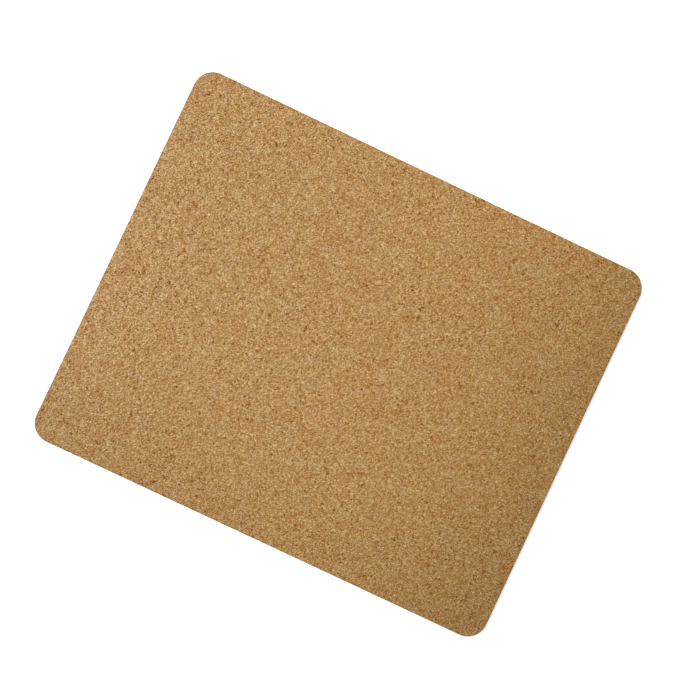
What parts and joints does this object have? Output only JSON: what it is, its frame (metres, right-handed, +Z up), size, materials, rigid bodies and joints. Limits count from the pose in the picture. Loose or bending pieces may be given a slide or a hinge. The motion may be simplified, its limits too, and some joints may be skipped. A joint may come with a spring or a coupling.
{
  "type": "mouse pad",
  "caption": "Flat rectangular mouse pad with rounded corners: an agglomerated cork working face bonded to an anti-slip sponge-rubber base.",
  "frame": {"origin": "middle of the underside, on the desk", "axes": "+X along the long side, +Y along the short side away from the user, +Z up through the cork face"},
  "size_m": [0.22, 0.18, 0.003],
  "materials": {
    "sponge_rubber": "matt, fine-celled, with a textured anti-slip underside",
    "adhesive": "clear amber film, seen only as a line at the edge",
    "cork": "fine-grained agglomerated cork, sanded and unprinted"
  },
  "bodies": {
    "root": {"rubber_base": "sponge_rubber", "adhesive_film": "adhesive", "cork_top_sheet": "cork"}
  },
  "joints": []
}
